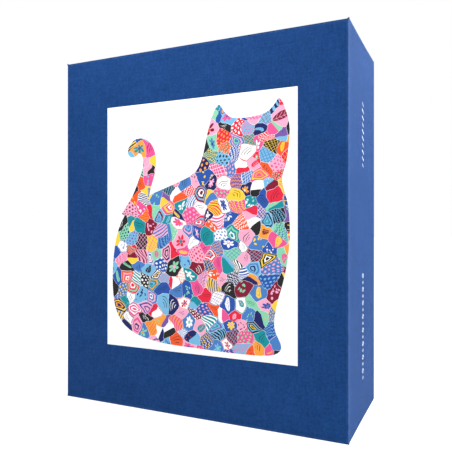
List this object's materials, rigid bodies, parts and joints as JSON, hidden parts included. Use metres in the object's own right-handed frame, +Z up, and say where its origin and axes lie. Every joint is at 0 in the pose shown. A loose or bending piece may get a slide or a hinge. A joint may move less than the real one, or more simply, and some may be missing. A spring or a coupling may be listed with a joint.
{
  "type": "boxed jigsaw puzzle",
  "caption": "Boxed jigsaw puzzle: a cloth-covered rigid box with a slip-over cover and picture label, holding a film bag of loose puzzle pieces, a folded poster and a card.",
  "frame": {"origin": "middle of the footprint, on the surface that the upright box stands on", "axes": "+Z up; -Y out of the front face that carries the picture label; +X towards the spine that carries the foil ornament; the cover slides off along -Y"},
  "size_m": [0.211, 0.09, 0.25],
  "materials": {
    "blue_cloth": "matte woven book cloth",
    "greyboard": "raw greyboard",
    "kraft_tape": "matte kraft paper",
    "white_lining": "smooth matte paper",
    "label_print": "satin printed paper",
    "silver_foil": "hot-stamped foil",
    "clear_film": "clear wrinkled film",
    "puzzle_card": "printed puzzle board with grey back",
    "poster_paper": "satin printed paper",
    "card_stock": "uncoated card"
  },
  "bodies": {
    "tray": {"tray_back_board": "greyboard", "tray_back_cloth": "blue_cloth", "tray_back_lining": "white_lining", "tray_bottom_board": "greyboard", "tray_cloth_turn_in": "blue_cloth", "tray_corner_tapes": "kraft_tape", "tray_left_board": "greyboard", "tray_right_board": "greyboard", "tray_top_board": "greyboard", "tray_wall_cloth": "blue_cloth", "tray_wall_lining": "white_lining"},
    "cover": {"cover_bottom_board": "greyboard", "cover_cloth_turn_in": "blue_cloth", "cover_corner_tapes": "kraft_tape", "cover_front_board": "greyboard", "cover_front_cloth": "blue_cloth", "cover_front_lining": "white_lining", "cover_left_board": "greyboard", "cover_right_board": "greyboard", "cover_top_board": "greyboard", "cover_wall_cloth": "blue_cloth", "cover_wall_lining": "white_lining", "lower_foil_ornament": "silver_foil", "picture_label": "label_print", "upper_foil_ornament": "silver_foil"},
    "bag": {"piece_bag": "clear_film", "puzzle_pieces_01": "puzzle_card", "puzzle_pieces_02": "puzzle_card", "puzzle_pieces_03": "puzzle_card", "puzzle_pieces_04": "puzzle_card", "puzzle_pieces_05": "puzzle_card", "puzzle_pieces_06": "puzzle_card", "puzzle_pieces_07": "puzzle_card", "puzzle_pieces_08": "puzzle_card", "puzzle_pieces_09": "puzzle_card", "puzzle_pieces_10": "puzzle_card", "puzzle_pieces_11": "puzzle_card", "puzzle_pieces_12": "puzzle_card", "puzzle_pieces_13": "puzzle_card", "puzzle_pieces_14": "puzzle_card"},
    "poster": {"folded_poster": "poster_paper"},
    "card": {"info_card": "card_stock"}
  },
  "joints": [
    {"name": "cover_slide", "type": "slide", "parent": "tray", "child": "cover", "axis": [0, -1, 0], "range_m": [0, 0.24]},
    {"name": "bag_slide", "type": "slide", "parent": "tray", "child": "bag", "axis": [0, -1, 0], "range_m": [0, 0.0912]},
    {"name": "poster_slide", "type": "slide", "parent": "tray", "child": "poster", "axis": [0, -1, 0], "range_m": [0, 0.1296]},
    {"name": "card_slide", "type": "slide", "parent": "tray", "child": "card", "axis": [0, -1, 0], "range_m": [0, 0.1584]}
  ],
  "couplings": [
    {"joint": "bag_slide", "follows": "cover_slide", "ratio": 0.38},
    {"joint": "poster_slide", "follows": "cover_slide", "ratio": 0.54},
    {"joint": "card_slide", "follows": "cover_slide", "ratio": 0.66}
  ]
}
